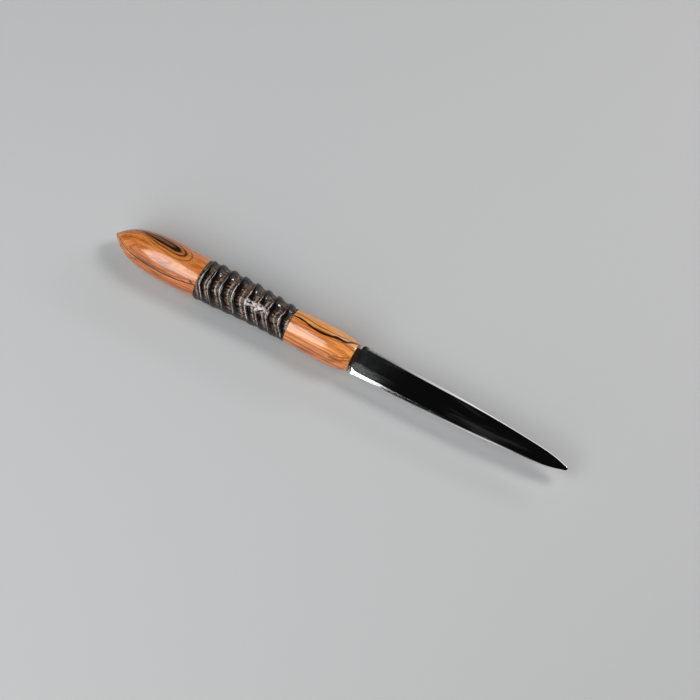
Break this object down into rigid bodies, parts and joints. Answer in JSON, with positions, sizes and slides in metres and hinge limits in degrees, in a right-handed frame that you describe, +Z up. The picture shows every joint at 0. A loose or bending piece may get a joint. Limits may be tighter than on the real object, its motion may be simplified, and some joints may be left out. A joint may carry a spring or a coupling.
{
  "type": "letter opener",
  "caption": "Letter opener: polished double-bevelled blade on a round handle of turned olive wood and ridged dark horn, with a pointed pommel.",
  "frame": {"origin": "on the resting surface, under the middle of the opener's whole length and under the handle's axis", "axes": "+X from the pommel's point to the blade's tip along the handle's axis, +Z up out of the blade's upper flat, +Y across the blade"},
  "size_m": [0.2552, 0.0223, 0.0223],
  "materials": {
    "polished_steel": "polished",
    "olive_wood_front": "gloss",
    "ridged_horn": "gloss",
    "olive_wood_pommel": "gloss",
    "rod_steel": "satin",
    "plug_wood": "matte",
    "cured_glue": "satin"
  },
  "bodies": {
    "root": {"blade": "polished_steel", "front_grip": "olive_wood_front", "horn_sleeve": "ridged_horn", "pommel": "olive_wood_pommel", "connecting_rod": "rod_steel", "horn_core": "plug_wood", "tang_bond": "cured_glue", "rod_bond_front": "cured_glue", "rod_bond_pommel": "cured_glue", "glue_line_rear": "cured_glue", "glue_line_front": "cured_glue"}
  },
  "joints": []
}
